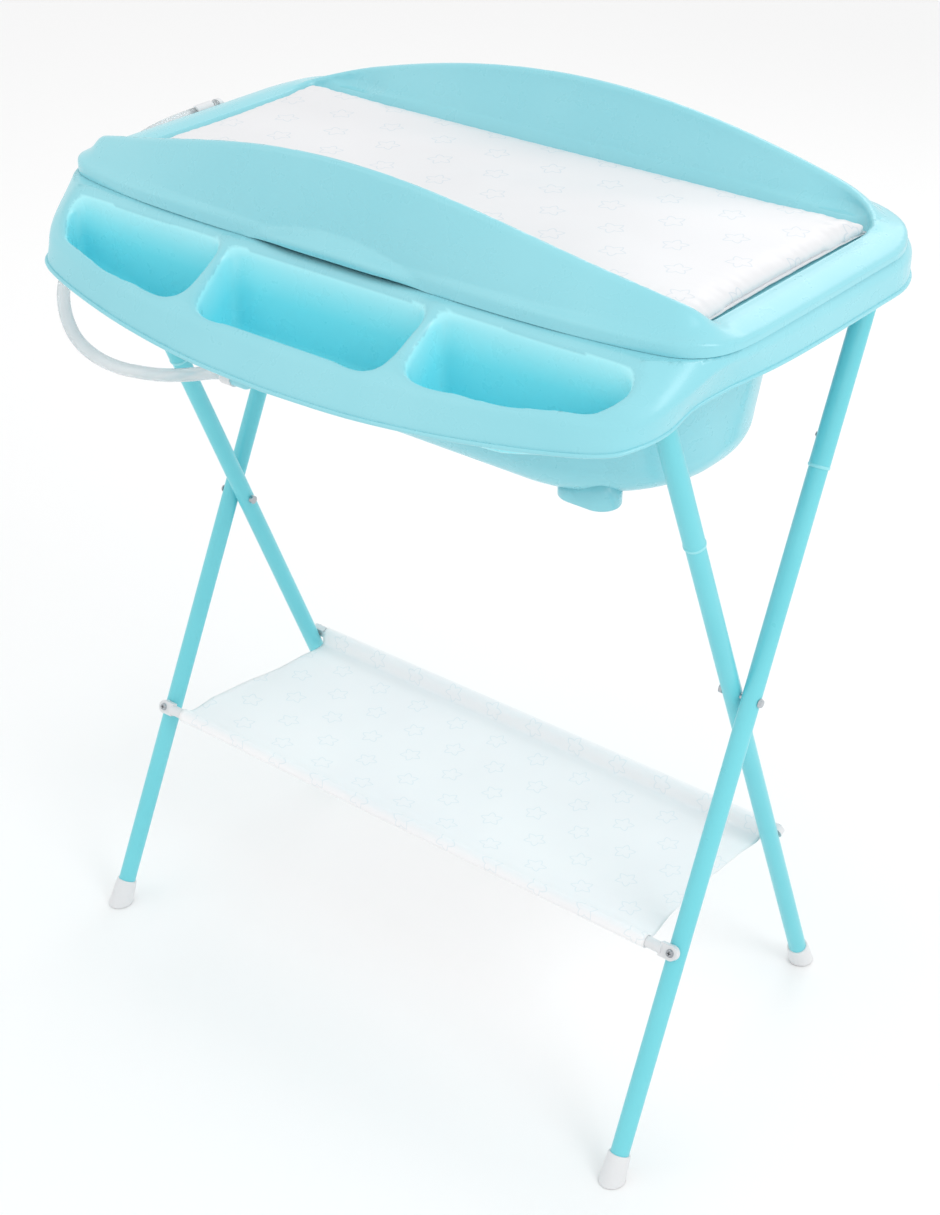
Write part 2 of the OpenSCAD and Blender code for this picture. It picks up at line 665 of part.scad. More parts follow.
bath_tub();
leg_rail_left();
leg_rail_right();
leg_bracket_left();
leg_bracket_right();
bracket_pins();
hinge_bracket_left();
hinge_bracket_right();
hinge_pins();
drain_spigot();
hose_coupling();
drain_hose();
hose_plug();
hose_clip();
changer_top();
changer_pad();
hinge_knuckle_left();
hinge_knuckle_right();
inner_leg_upper_left();
inner_leg_upper_right();
inner_leg_lower_left();
inner_leg_lower_right();
inner_foot_left();
inner_foot_right();
inner_joint_screws();
pivot_bolts();
shelf_back_rod();
back_rod_screws();
outer_leg_upper_left();
outer_leg_upper_right();
outer_leg_lower_left();
outer_leg_lower_right();
outer_foot_left();
outer_foot_right();
outer_joint_screws();
leg_glide_left();
leg_glide_right();
shelf_front_rod();
front_rod_screws();
shelf_fabric();
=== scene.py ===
import json
import math

import bpy
import numpy as np
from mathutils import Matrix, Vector


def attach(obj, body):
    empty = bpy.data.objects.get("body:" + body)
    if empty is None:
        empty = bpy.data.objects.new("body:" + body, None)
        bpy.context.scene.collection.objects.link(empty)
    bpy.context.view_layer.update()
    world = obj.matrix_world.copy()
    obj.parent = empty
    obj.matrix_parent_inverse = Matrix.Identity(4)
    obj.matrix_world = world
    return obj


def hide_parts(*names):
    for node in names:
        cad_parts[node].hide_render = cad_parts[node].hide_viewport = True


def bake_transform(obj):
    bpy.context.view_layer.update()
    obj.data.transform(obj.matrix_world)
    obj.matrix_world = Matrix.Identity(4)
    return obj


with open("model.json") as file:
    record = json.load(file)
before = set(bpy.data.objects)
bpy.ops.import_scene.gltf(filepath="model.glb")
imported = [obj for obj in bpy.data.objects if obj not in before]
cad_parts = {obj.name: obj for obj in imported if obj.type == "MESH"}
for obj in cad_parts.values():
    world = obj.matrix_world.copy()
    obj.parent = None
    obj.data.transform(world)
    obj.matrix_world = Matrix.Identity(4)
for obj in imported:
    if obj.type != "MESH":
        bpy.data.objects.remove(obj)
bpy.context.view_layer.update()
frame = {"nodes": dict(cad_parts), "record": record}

MM = 0.001

# ---------------------------------------------------------------- camera
CAMERA_PLACE = (1.2511, -1.5353, 1.6439)
CAMERA_ELEVATION = math.radians(30.8)
CAMERA_AZIMUTH = math.radians(38.6)
SENSOR_WIDTH = 36.0
LENS = 63.51

camera_data = bpy.data.cameras.new("camera")
camera_data.sensor_width = SENSOR_WIDTH
camera_data.lens = LENS
camera = bpy.data.objects.new("camera", camera_data)
camera.location = CAMERA_PLACE
camera.rotation_euler = (math.radians(90) - CAMERA_ELEVATION, 0, CAMERA_AZIMUTH)
bpy.context.scene.collection.objects.link(camera)
bpy.context.scene.camera = camera


# ---------------------------------------------------------------- mesh helpers
def mesh_object(name, vertices, faces, smooth=True):
    mesh = bpy.data.meshes.new(name)
    mesh.from_pydata([tuple(map(float, v)) for v in vertices], [],
                     [tuple(map(int, f)) for f in faces])
    mesh.validate()
    mesh.update()
    mesh.shade_smooth() if smooth else mesh.shade_flat()
    obj = bpy.data.objects.new(name, mesh)
    bpy.context.scene.collection.objects.link(obj)
    return obj


def smooth_curve(points, steps):
    """Catmull-Rom curve through the points, with so many steps between neighbours."""
    p = np.array(points, float)
    last = len(p) - 1
    t = np.arange(steps)[:, None] / steps
    out = []
    for i in range(last):
        a, b, c, d = p[max(i - 1, 0)], p[i], p[i + 1], p[min(i + 2, last)]
        out.append(0.5 * (2 * b + (c - a) * t + (2 * a - 5 * b + 4 * c - d) * t ** 2
                          + (3 * b - a - 3 * c + d) * t ** 3))
    return np.vstack(out + [p[-1:]])


def even_points(points, count):
    """count + 1 points spaced evenly along a polyline."""
    p = np.array(points, float)
    s = np.concatenate([[0], np.cumsum(np.linalg.norm(np.diff(p, axis=0), axis=1))])
    at = np.linspace(0, s[-1], count + 1)
    return np.stack([np.interp(at, s, p[:, k]) for k in range(p.shape[1])], 1)


def arc(cx, cy, z, r, a0, a1, steps=12):
    a = np.radians(np.linspace(a0, a1, steps + 1))
    return [(cx + r * math.cos(v), cy + r * math.sin(v), z) for v in a]


def mirrored(half):
    """A closed outline from its right half, front centre to back centre."""
    half = np.array(half, float)
    left = half[-2:0:-1] * (-1, 1, 1)
    return np.vstack([half, left])


def tube(name, path, radius, sides):
    """Round tube with closed ends, swept along a path that starts nearly level."""
    path = np.array(path, float)
    n = len(path)
    tangent = np.gradient(path, axis=0)
    tangent /= np.linalg.norm(tangent, axis=1)[:, None]
    e1 = np.cross(tangent[0], (0.0, 0.3, 1.0))
    e1 /= np.linalg.norm(e1)
    angles = np.linspace(0, 2 * math.pi, sides, endpoint=False)
    rings = []
    for i in range(n):
        e1 = e1 - tangent[i] * (e1 @ tangent[i])
        e1 /= np.linalg.norm(e1)
        e2 = np.cross(tangent[i], e1)
        rings.append(path[i] + radius * (np.cos(angles)[:, None] * e1
                                         + np.sin(angles)[:, None] * e2))
    faces = []
    for i in range(n - 1):
        for k in range(sides):
            m = (k + 1) % sides
            faces.append((i * sides + k, i * sides + m, (i + 1) * sides + m, (i + 1) * sides + k))
    faces.append(tuple(range(sides))[::-1])
    faces.append(tuple(range((n - 1) * sides, n * sides)))
    return mesh_object(name, np.vstack(rings), faces)


# ---------------------------------------------------------------- drain hose
HOSE_D = 0.014
hose_route = [(-0.148, -0.170, 0.757), (-0.160, -0.170, 0.755), (-0.178, -0.170, 0.749),
              (-0.200, -0.170, 0.741), (-0.236, -0.170, 0.730), (-0.272, -0.170, 0.723),
              (-0.308, -0.170, 0.719), (-0.340, -0.170, 0.722), (-0.365, -0.170, 0.733),
              (-0.381, -0.168, 0.752), (-0.387, -0.165, 0.775), (-0.388, -0.158, 0.797),
              (-0.392, -0.145, 0.820), (-0.399, -0.125, 0.842), (-0.407, -0.098, 0.863),
              (-0.412, -0.066, 0.881), (-0.413, -0.034, 0.895), (-0.413, 0.000, 0.903),
              (-0.413, 0.030, 0.906), (-0.413, 0.065, 0.907), (-0.413, 0.100, 0.907)]
hose_path = even_points(smooth_curve(hose_route, 6), 110)
hose = tube("hose_skin", hose_path, HOSE_D / 2, sides=24)
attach(hose, "bath")
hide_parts("drain_hose")


# ---------------------------------------------------------------- implicit moulding
def round_and(a, b, r):
    """Where both a and b are inside, with the edge between them rounded to radius r."""
    u = np.maximum(a + r, 0)
    v = np.maximum(b + r, 0)
    return np.minimum(-r, np.maximum(a, b)) + np.hypot(u, v)


def round_or(a, b, r):
    return -round_and(-a, -b, r)


class PlanMap:
    """Signed distance in plan to a closed outline, and the height of its nearest point."""
    PITCH = 2.0
    LOW = np.array([-412.0, -284.0])
    COUNT = (413, 285)

    def __init__(self, outline):
        outline = np.array(outline, float)
        if outline.shape[1] == 2:
            outline = np.column_stack([outline, np.zeros(len(outline))])
        x = self.LOW[0] + self.PITCH * np.arange(self.COUNT[0])
        y = self.LOW[1] + self.PITCH * np.arange(self.COUNT[1])
        gx, gy = np.meshgrid(x, y, indexing="ij")
        best = np.full(gx.shape, 1e9)
        height = np.zeros(gx.shape)
        inside = np.zeros(gx.shape, bool)
        for a, b in zip(outline, np.roll(outline, -1, axis=0)):
            d = b[:2] - a[:2]
            t = np.clip(((gx - a[0]) * d[0] + (gy - a[1]) * d[1]) / max(d @ d, 1e-9), 0, 1)
            dist = np.hypot(gx - a[0] - t * d[0], gy - a[1] - t * d[1])
            near = dist < best
            best = np.where(near, dist, best)
            height = np.where(near, a[2] + t * (b[2] - a[2]), height)
            if a[1] != b[1]:
                crosses = ((a[1] > gy) != (b[1] > gy)) & (
                    gx < (b[0] - a[0]) * (gy - a[1]) / (b[1] - a[1]) + a[0])
                inside ^= crosses
        self.distance = np.where(inside, -best, best)
        self.height = height

    def _sample(self, grid, x, y):
        fx = np.clip((x - self.LOW[0]) / self.PITCH, 0, self.COUNT[0] - 1.001)
        fy = np.clip((y - self.LOW[1]) / self.PITCH, 0, self.COUNT[1] - 1.001)
        i, j = fx.astype(int), fy.astype(int)
        u, v = fx - i, fy - j
        return ((grid[i, j] * (1 - u) + grid[i + 1, j] * u) * (1 - v)
                + (grid[i, j + 1] * (1 - u) + grid[i + 1, j + 1] * u) * v)

    def d(self, x, y):
        return self._sample(self.distance, x, y)

    def z(self, x, y):
        return self._sample(self.height, x, y)


def spaced(*stops):
    """Grid positions: each stop is a start and the spacing from there; the last is the end."""
    out = []
    for (start, pitch), (end, _) in zip(stops, stops[1:]):
        pitch *= 1
        out.append(np.arange(start, end - pitch / 2, pitch))
    return np.append(np.concatenate(out), stops[-1][0])


def neighbours(faces, count):
    """Function that averages each point's neighbours in a mesh of quads."""
    pairs = np.vstack([faces[:, [k, (k + 1) % 4]] for k in range(4)])
    a, b = np.unique(np.sort(pairs, axis=1), axis=0).T
    linked = np.maximum(np.bincount(a, minlength=count) + np.bincount(b, minlength=count), 1)

    def mean(data):
        total = [np.bincount(a, data[b, k], count) + np.bincount(b, data[a, k], count)
                 for k in range(3)]
        return np.stack(total, 1) / linked[:, None]
    return mean


NET_STEPS = 6
NET_RELAXED_STEPS = (1, 2, 3)


def surface_net(field, axes):
    """Quad mesh of the zero surface of field(x, y, z), with vertices moved onto it."""
    pitch = min(np.diff(axis).min() for axis in axes)
    shape = tuple(len(a) for a in axes)
    values = np.empty(shape, np.float32)
    gy, gz = np.meshgrid(axes[1], axes[2], indexing="ij")
    for i, x in enumerate(axes[0]):
        values[i] = field(np.full(gy.shape, x), gy, gz)
    cells = tuple(n - 1 for n in shape)
    total = np.zeros(cells + (3,), np.float32)
    count = np.zeros(cells, np.int16)
    edges = []
    for axis in range(3):
        a = np.moveaxis(values, axis, 0)[:-1]
        b = np.moveaxis(values, axis, 0)[1:]
        hit = (a < 0) != (b < 0)
        idx = np.argwhere(hit)
        va, vb = a[hit], b[hit]
        others = [k for k in range(3) if k != axis]
        cell = np.empty_like(idx)
        cell[:, axis] = idx[:, 0]
        cell[:, others[0]] = idx[:, 1]
        cell[:, others[1]] = idx[:, 2]
        at = cell.astype(np.float32)
        at[:, axis] += va / (va - vb)
        flip = va < 0
        edges.append((axis, cell, flip))
        for du in (0, -1):
            for dv in (0, -1):
                c = cell.copy()
                c[:, others[0]] += du
                c[:, others[1]] += dv
                ok = np.all((c >= 0) & (c < np.array(cells)), axis=1)
                key = tuple(c[ok].T)
                np.add.at(total, key, at[ok])
                np.add.at(count, key, 1)
    used = np.argwhere(count > 0)
    index = np.full(cells, -1, np.int64)
    index[tuple(used.T)] = np.arange(len(used))
    v = total[tuple(used.T)] / count[tuple(used.T)][:, None]
    v = np.stack([np.interp(v[:, k], np.arange(len(axes[k])), axes[k]) for k in range(3)], 1)
    quads = []
    for axis, cell, flip in edges:
        o1, o2 = (axis + 1) % 3, (axis + 2) % 3
        around = []
        for du, dv in ((0, 0), (-1, 0), (-1, -1), (0, -1)):
            c = cell.copy()
            c[:, o1] += du
            c[:, o2] += dv
            ok = np.all((c >= 0) & (c < np.array(cells)), axis=1)
            c = np.clip(c, 0, np.array(cells) - 1)
            around.append(np.where(ok, index[tuple(c.T)], -1))
        q = np.stack(around, 1)
        q[~flip] = q[~flip][:, ::-1]
        quads.append(q[np.all(q >= 0, axis=1)])
    quads = np.vstack(quads)
    mean = neighbours(quads, len(v))
    h = 0.25
    for step in range(NET_STEPS):
        if step in NET_RELAXED_STEPS:
            v = v + 0.5 * (mean(v) - v)
        x, y, z = v.T
        g = np.stack([field(x + h, y, z) - field(x - h, y, z),
                      field(x, y + h, z) - field(x, y - h, z),
                      field(x, y, z + h) - field(x, y, z - h)], 1) / (2 * h)
        size = np.maximum((g ** 2).sum(1), 0.05)
        move = -(field(x, y, z) / size)[:, None] * g
        length = np.linalg.norm(move, axis=1)
        move *= np.minimum(1, 0.6 * pitch / np.maximum(length, 1e-9))[:, None]
        v = v + move
    normals = g / np.linalg.norm(g, axis=1)[:, None]
    return v, quads, normals


def soften(v, normals, faces, weight, rounds=24):
    """Evens out the points where weight is 1 by moving each towards its neighbours."""
    mean = neighbours(faces, len(v))
    for _ in range(rounds):
        for data in (v, normals):
            data += (0.6 * weight[:, None]) * (mean(data) - data)
    return v, normals


def clip_below(v, normals, faces, height):
    """Cuts a mesh off where height, one number for each vertex, falls below zero."""
    v, normals = list(v), list(normals)
    cut_at = {}

    def cut(i, j):
        key = (min(i, j), max(i, j))
        if key not in cut_at:
            t = height[i] / (height[i] - height[j])
            v.append(v[i] + t * (v[j] - v[i]))
            normals.append(normals[i] + t * (normals[j] - normals[i]))
            cut_at[key] = len(v) - 1
        return cut_at[key]

    below = height < 0
    count = below[faces].sum(1)
    kept = [tuple(f) for f in faces[count == 0]]
    for face in faces[(count > 0) & (count < 4)]:
        out = []
        for i, j in zip(face, np.roll(face, -1)):
            if not below[i]:
                out.append(i)
            if below[i] != below[j]:
                out.append(cut(i, j))
        if len(out) > 2:
            kept.append(tuple(out))
    v, normals = np.array(v), np.array(normals)
    used = np.unique(np.concatenate([np.array(f) for f in kept]))
    new_index = np.full(len(v), -1)
    new_index[used] = np.arange(len(used))
    return v[used], normals[used], [tuple(int(new_index[i]) for i in f) for f in kept]


def thick_sheet(name, v, normals, faces, thickness):
    """Closed moulding: the outer sheet, the same sheet moved inward, and the edge between."""
    n = len(v)
    normals = normals / np.linalg.norm(normals, axis=1)[:, None]
    edges = {}
    for f in faces:
        for i, j in zip(f, f[1:] + f[:1]):
            edges[(i, j)] = edges.get((i, j), 0) + 1
    rim = [(i, j) for i, j in edges if (j, i) not in edges]
    inner = [tuple(i + n for i in reversed(f)) for f in faces]
    wall_faces = [(j, i, i + n, j + n) for i, j in rim]
    every = list(faces) + inner + wall_faces
    points = np.vstack([v, v - normals * thickness])
    mesh = bpy.data.meshes.new(name)
    mesh.from_pydata((points * MM).tolist(), [], every)
    mesh.update()
    mesh.shade_smooth()
    loops = [tuple(normals[i]) for f in faces for i in f]
    loops += [tuple(-normals[i - n]) for f in inner for i in f]
    for f in wall_faces:
        side = np.cross(points[f[1]] - points[f[0]], points[f[2]] - points[f[0]])
        side = side / max(np.linalg.norm(side), 1e-9)
        loops += [tuple(side)] * 4
    mesh.normals_split_custom_set(loops)
    obj = bpy.data.objects.new(name, mesh)
    bpy.context.scene.collection.objects.link(obj)
    return obj


def moulded(name, field, edge_height, axes, thickness, uneven=None):
    v, quads, normals = surface_net(field, axes)
    if uneven is not None:
        v, normals = soften(v, normals, quads, uneven(*v.T))
    v, normals, faces = clip_below(v, normals, quads, edge_height(*v.T))
    return thick_sheet(name, v, normals, faces, thickness)


# ---------------------------------------------------------------- bath, millimetres
WALL = 2.6
BROW_ROUND = 8.0
BOWL_EDGE_ROUND = 9
POCKET_EDGE_ROUND = 6.5
POCKET_FLOOR_ROUND = 14
POCKET_FLOOR_RISE = 16
DECK_Z = 908.0
BACK_R = 105.0
RIM_X, RIM_Y = 400.0, 270.0


def back_corner(z):
    return arc(RIM_X - BACK_R, RIM_Y - BACK_R, z, BACK_R, 6, 90) + [(0, RIM_Y, z)]


lip_outline = mirrored(list(smooth_curve([
    (0, -270, 818), (100, -267, 820), (200, -255, 825), (290, -236, 832), (343, -218, 838),
    (361, -193, 842), (368, -162, 846), (370, -128, 856), (382, -97, 866), (391, -75, 871),
    (398, -30, 873), (400, 40, 873), (400, 165, 873)], 6)) + back_corner(873))
brow_outline = mirrored(list(smooth_curve([
    (0, -252, 858), (100, -250, 859), (200, -241, 862), (290, -226, 866), (345, -207, 868),
    (368, -187, 871), (382, -152, 886), (392, -118, 900), (398.5, -80, 904), (399.5, -40, 905),
    (400, 40, 905), (400, 165, 905)], 6)) + back_corner(905))
deck_outline = mirrored(list(smooth_curve([
    (0, -176, 0), (200, -176, 0), (300, -174, 0), (338, -169, 0), (356, -160, 0),
    (369, -150, 0), (379, -138, 0), (386.5, -124, 0), (391, -108, 0), (394, -85, 0),
    (395, -40, 0), (395, 40, 0), (394, 165, 0)], 6))
    + arc(295, 165, 0, 99, 6, 90) + [(0, 264, 0)])


def rounded_outline(corners, radii, steps=6):
    """Closed plan outline with each corner replaced by an arc."""
    out = []
    n = len(corners)
    for i in range(n):
        p = np.array(corners[i], float)
        a = np.array(corners[i - 1], float) - p
        b = np.array(corners[(i + 1) % n], float) - p
        a /= np.linalg.norm(a)
        b /= np.linalg.norm(b)
        half = math.acos(np.clip(a @ b, -1, 1)) / 2
        reach = radii[i] / math.tan(half)
        p0, p2 = p + a * reach, p + b * reach
        for k in range(steps + 1):
            t = k / steps
            out.append((1 - t) ** 2 * p0 + 2 * t * (1 - t) * p + t * t * p2)
    return out


middle_pocket = rounded_outline(
    [(-112, -243), (112, -243), (121, -179), (-121, -179)], (22, 22, 12, 12))
right_pocket = rounded_outline(
    [(136, -239), (240, -229), (320, -208), (350, -173), (135, -178)], (22, 120, 28, 12, 12))
left_pocket = [(-x, y) for x, y in right_pocket][::-1]

POCKET_FLOOR = 810.0
BOWL_Y = 32.0
BOWL_FLOOR = 711.0
BOWL_FILLET = 33
BOWL_HEIGHTS = (700, 745, 850, 895, 912)
BOWL_HALF_X = (306, 307, 311, 315, 320)
BOWL_HALF_Y = (142, 143, 150, 155, 161)
BOWL_CORNER = (134, 134, 108, 114, 122)


def bowl(x, y, z):
    """Signed distance to the bowl's inside, which widens upward from a rounded floor."""
    a = np.interp(z, BOWL_HEIGHTS, BOWL_HALF_X)
    b = np.interp(z, BOWL_HEIGHTS, BOWL_HALF_Y)
    r = np.interp(z, BOWL_HEIGHTS, BOWL_CORNER)
    qx = np.abs(x) - (a - r)
    qy = np.abs(y - BOWL_Y) - (b - r)
    side = np.hypot(np.maximum(qx, 0), np.maximum(qy, 0)) + np.minimum(np.maximum(qx, qy), 0) - r
    return round_and(side, BOWL_FLOOR - z, BOWL_FILLET)


class Tub:
    def __init__(self):
        self.lip = PlanMap(lip_outline)
        self.brow = PlanMap(brow_outline)
        self.deck = PlanMap(deck_outline)
        self.pockets = [PlanMap(p) for p in (left_pocket, middle_pocket, right_pocket)]

    def top(self, x, y):
        """Height of the moulding's upper face, before its edges are rounded."""
        out = np.maximum(self.deck.d(x, y), 0)
        left = np.maximum(-self.brow.d(x, y), 0.5)
        return DECK_Z - (DECK_Z - self.brow.z(x, y)) * out / (out + left)

    def side(self, x, y, z):
        """Signed distance to the rim's outer face, which leans from the brow to the lip."""
        z_lip = self.lip.z(x, y)
        rise = np.maximum(self.brow.z(x, y) - z_lip, 5)
        t = np.clip((z - z_lip) / rise, 0, 1)
        d_lip = self.lip.d(x, y)
        return d_lip + (self.brow.d(x, y) - d_lip) * t

    def field(self, x, y, z):
        over = (z - self.top(x, y)) * 0.86
        body = round_and(self.side(x, y, z), over, BROW_ROUND)
        body = round_and(body, -bowl(x, y, z), BOWL_EDGE_ROUND)
        for pocket in self.pockets:
            d = pocket.d(x, y) - (z - 860) * 0.05
            floor_z = POCKET_FLOOR + POCKET_FLOOR_RISE * np.clip((np.abs(x) - 235) / 95, 0, 1)
            hollow = round_and(d, floor_z - z, POCKET_FLOOR_ROUND)
            body = round_and(body, -hollow, POCKET_EDGE_ROUND)
        return body

    def pocket_edges(self, x, y, z):
        """1 near the upper edges of the pockets, fading to 0 within a few millimetres."""
        near = np.full(x.shape, 50.0)
        for pocket in self.pockets:
            near = np.minimum(near, np.abs(pocket.d(x, y)))
        low = np.maximum(self.top(x, y) - z, 0)
        return np.clip(1.6 - near / 7, 0, 1) * np.clip(1.8 - low / 9, 0, 1)

    def edge_height(self, x, y, z):
        """Height above the rim's lower edge, on the outer face only."""
        on_side = np.abs(self.side(x, y, z)) < 1.5
        return np.where(on_side, z - self.lip.z(x, y), 100.0)


tub_shape = Tub()
tub = moulded("tub_shell", tub_shape.field, tub_shape.edge_height,
              (spaced((-408, 4.8), (408, 0)), spaced((-280, 3.2), (-158, 6.0), (278, 0)),
               spaced((694, 6.5), (844, 3.2), (916, 0))), WALL, tub_shape.pocket_edges)
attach(tub, "bath")
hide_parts("bath_tub")


def ring_tube(name, loop, radius, sides=10):
    """Round bead along a closed loop that runs nearly level."""
    loop = np.array(loop, float)
    n = len(loop)
    tangent = np.roll(loop, -1, axis=0) - np.roll(loop, 1, axis=0)
    out = np.cross(tangent, (0, 0, 1.0))
    out /= np.linalg.norm(out, axis=1)[:, None]
    up = np.cross(out, tangent)
    up /= np.linalg.norm(up, axis=1)[:, None]
    angles = np.linspace(0, 2 * math.pi, sides, endpoint=False)
    points = [loop[i] + radius * (math.cos(a) * out[i] + math.sin(a) * up[i])
              for i in range(n) for a in angles]
    faces = [(i * sides + k, ((i + 1) % n) * sides + k, ((i + 1) % n) * sides + (k + 1) % sides,
              i * sides + (k + 1) % sides) for i in range(n) for k in range(sides)]
    return mesh_object(name, np.array(points) * MM, faces)


closed_lip = np.vstack([lip_outline, lip_outline[:1]])
BEAD_R = 2.1
BEAD_LIFT = 0.8
bead = ring_tube("rim_bead", even_points(closed_lip, 460)[:-1] + (0, 0, BEAD_LIFT), BEAD_R)
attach(bead, "bath")

# ---------------------------------------------------------------- changing top, millimetres
TOP_BASE = 909.0
TOP_FLOOR = 912.0
TOP_BORDER = 920.0
PAD_X = 348.0
PAD_FRONT, PAD_BACK = -113.0, 197.0
TOP_WALL = 2.6
FRONT_CREST = 1002.3
BACK_CREST = 983.9


def front_foot(x):
    u = np.abs(x) / 400
    return -167.4 - 5.1 * u ** 2 + 34.4 * u ** 4


foot_outline = mirrored(
    [(x, float(front_foot(x)), 0) for x in range(0, 325, 12)]
    + list(smooth_curve([(338, -153.5, 0), (356, -149, 0), (368, -143.5, 0), (377, -136.5, 0),
                         (384.5, -128, 0), (390.5, -117, 0), (394.5, -103, 0), (397, -84, 0),
                         (398, -55, 0), (398.5, 40, 0), (398.5, 154, 0)], 5))
    + arc(291, 154, 0, 108, 6, 90) + [(0, 262, 0)])


def lens(x):
    """1 at the middle of the finger scoop, 0 at its ends."""
    return np.clip(1 - (x / 107.0) ** 2, 0, 1)


class Top:
    def __init__(self):
        self.foot = PlanMap(foot_outline)

    @staticmethod
    def wall(s, above, rise, lean, run, gap, crest_r):
        """Upright wall that leans in as it rises and spreads by run at its foot, inside."""
        h = np.clip(above / rise, 0, 1.2)
        outer = (lean * h - 3.0 * h * (1 - np.minimum(h, 1)) - s) / np.sqrt(1 + (lean / rise) ** 2)
        spread = run * np.clip(1 - h, 0, 1) ** 1.3
        inner = (s - lean - gap - spread) / np.sqrt(1 + (run / rise) ** 2)
        return round_and(round_and(outer, inner, crest_r), above - rise, crest_r)

    def field(self, x, y, z):
        u = np.abs(x) / 400
        t = np.clip((398 - np.abs(x)) / 46, 0, 1)
        roll = np.sqrt(np.maximum(1 - (1 - t) ** 2, 0))
        above = z - TOP_BASE
        w = lens(x)
        hump = np.clip(1 - ((above - 2 - 8 * w) / (5 + 13 * w)) ** 2, 0, 1)
        push = np.where(y < -100, 8.0 * w * w * (3 - 2 * w) * hump * hump, 0)
        foot = self.foot.d(x, y) - push

        in_pad = np.maximum(np.abs(x) - PAD_X - 2,
                            np.maximum(PAD_FRONT - 4 - y, y - PAD_BACK - 4))
        level = TOP_FLOOR + (TOP_BORDER - TOP_FLOOR) * np.clip(in_pad / 8, 0, 1)
        level = np.minimum(level, TOP_BORDER - 10 * np.clip((np.abs(x) - 372) / 26, 0, 1) ** 1.6)
        plate = round_and(foot, z - level, 4)

        s = -foot
        fade = np.clip((-72 - y) / 56, 0, 1)
        roll_front = roll * fade * fade * (3 - 2 * fade)
        rise = 5 + (FRONT_CREST - TOP_BASE - 5 - 109.6 * u ** 2 + 48.2 * u ** 4) * roll_front
        lean = 11 + 47.0 * u ** 2 - 34.4 * u ** 4
        run = np.maximum(31 - 41.9 * u ** 2, 2) + 22 * (1 - t)
        front = self.wall(s, above, rise, lean, run, 7.5, 4 + 9 * (1 - t))

        fade = np.clip((y - 148) / 50, 0, 1)
        roll_back = roll * fade * fade * (3 - 2 * fade)
        rise = 5 + (BACK_CREST - TOP_BASE - 5 - 82.9 * u ** 2 + 12.7 * u ** 4) * roll_back
        lean = 21.1 + 6.1 * u ** 2
        corner = np.clip((np.abs(x) - 265) / 60, 0, 1)
        run = (53 - lean) * (1 - corner) + 1.5 * corner
        back = self.wall(s, above, rise, lean, run, 9, 4)

        blend_r = 8 + 10 * (1 - t)
        skin = round_or(plate, np.maximum(front, foot - 0.5), blend_r)
        skin = round_or(skin, np.maximum(back, foot - 0.5), blend_r)
        skin = round_and(skin, foot, 3)
        notch = np.maximum(np.maximum(np.abs(np.abs(x) - 200) - 27, 254 - y), z - 921)
        return np.maximum(skin, -notch)


def above_base(x, y, z):
    """Height above the top's lower edge, which lifts into a slit at the finger scoop."""
    slit = np.where(y < -140, 3.5 * np.clip(1.6 * lens(x), 0, 1), 0)
    return z - TOP_BASE + 0.6 - slit


top_shape = Top()
changer = moulded("changer_shell", top_shape.field, above_base,
                  (spaced((-404, 3.5), (404, 0)), spaced((-182, 3.5), (268, 0)),
                   spaced((898, 3.5), (1010, 0))), TOP_WALL)
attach(changer, "changer")
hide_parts("changer_top")


# ---------------------------------------------------------------- boss under the bowl
def bowl_underside(x, y):
    """Height halfway through the bowl's wall, above a point under its floor."""
    low, high = BOWL_FLOOR - WALL, BOWL_FLOOR + 60
    for _ in range(20):
        middle = (low + high) / 2
        if float(bowl(np.array(x), np.array(y), np.array(middle))) > 0:
            low = middle
        else:
            high = middle
    return low - WALL / 2


def stadium(cx, cy, half_run, r, steps=16):
    right = np.radians(np.linspace(-90, 90, steps + 1))
    left = np.radians(np.linspace(90, 270, steps + 1))
    return [(cx + half_run + r * math.cos(a), cy + r * math.sin(a)) for a in right] + \
           [(cx - half_run + r * math.cos(a), cy + r * math.sin(a)) for a in left]


def lofted(name, rings):
    """Closed skin over rings of equal length, with a flat cap at each end."""
    n = len(rings[0])
    faces = [(j * n + i, j * n + (i + 1) % n, (j + 1) * n + (i + 1) % n, (j + 1) * n + i)
             for j in range(len(rings) - 1) for i in range(n)]
    faces.append(tuple(range(n))[::-1])
    faces.append(tuple(range((len(rings) - 1) * n, len(rings) * n)))
    return mesh_object(name, np.vstack(rings) * MM, faces)


BOSS_X, BOSS_Y = 224, -68
boss_outer = stadium(BOSS_X, BOSS_Y, 13, 20)
boss_inner = stadium(BOSS_X, BOSS_Y, 13, 14)
boss = lofted("bowl_boss", [
    [(x, y, bowl_underside(x, y)) for x, y in boss_outer],
    [(x, y, 699.4) for x, y in boss_outer],
    [(BOSS_X + (x - BOSS_X) * 0.98, BOSS_Y + (y - BOSS_Y) * 0.96, 698.1) for x, y in boss_outer],
    [(x, y, 698.0) for x, y in boss_inner],
    [(x, y, 703.0) for x, y in boss_inner]])
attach(boss, "bath")

# ---------------------------------------------------------------- pad
PAD_SEAM_Z = 915.5
PAD_CENTRE_Y = 42.0
PAD_HALF_Y = 151.5
PAD_VOXEL = 0.005
PAD_SWELL_FRAMES = 20
PAD_CAP = 0.004
PAD_LOWEST = 0.9124


def pad_point(u, v):
    return (u * (352 - 3 * (1 - v * v)), PAD_CENTRE_Y + v * (PAD_HALF_Y - 2 * (1 - u * u)))


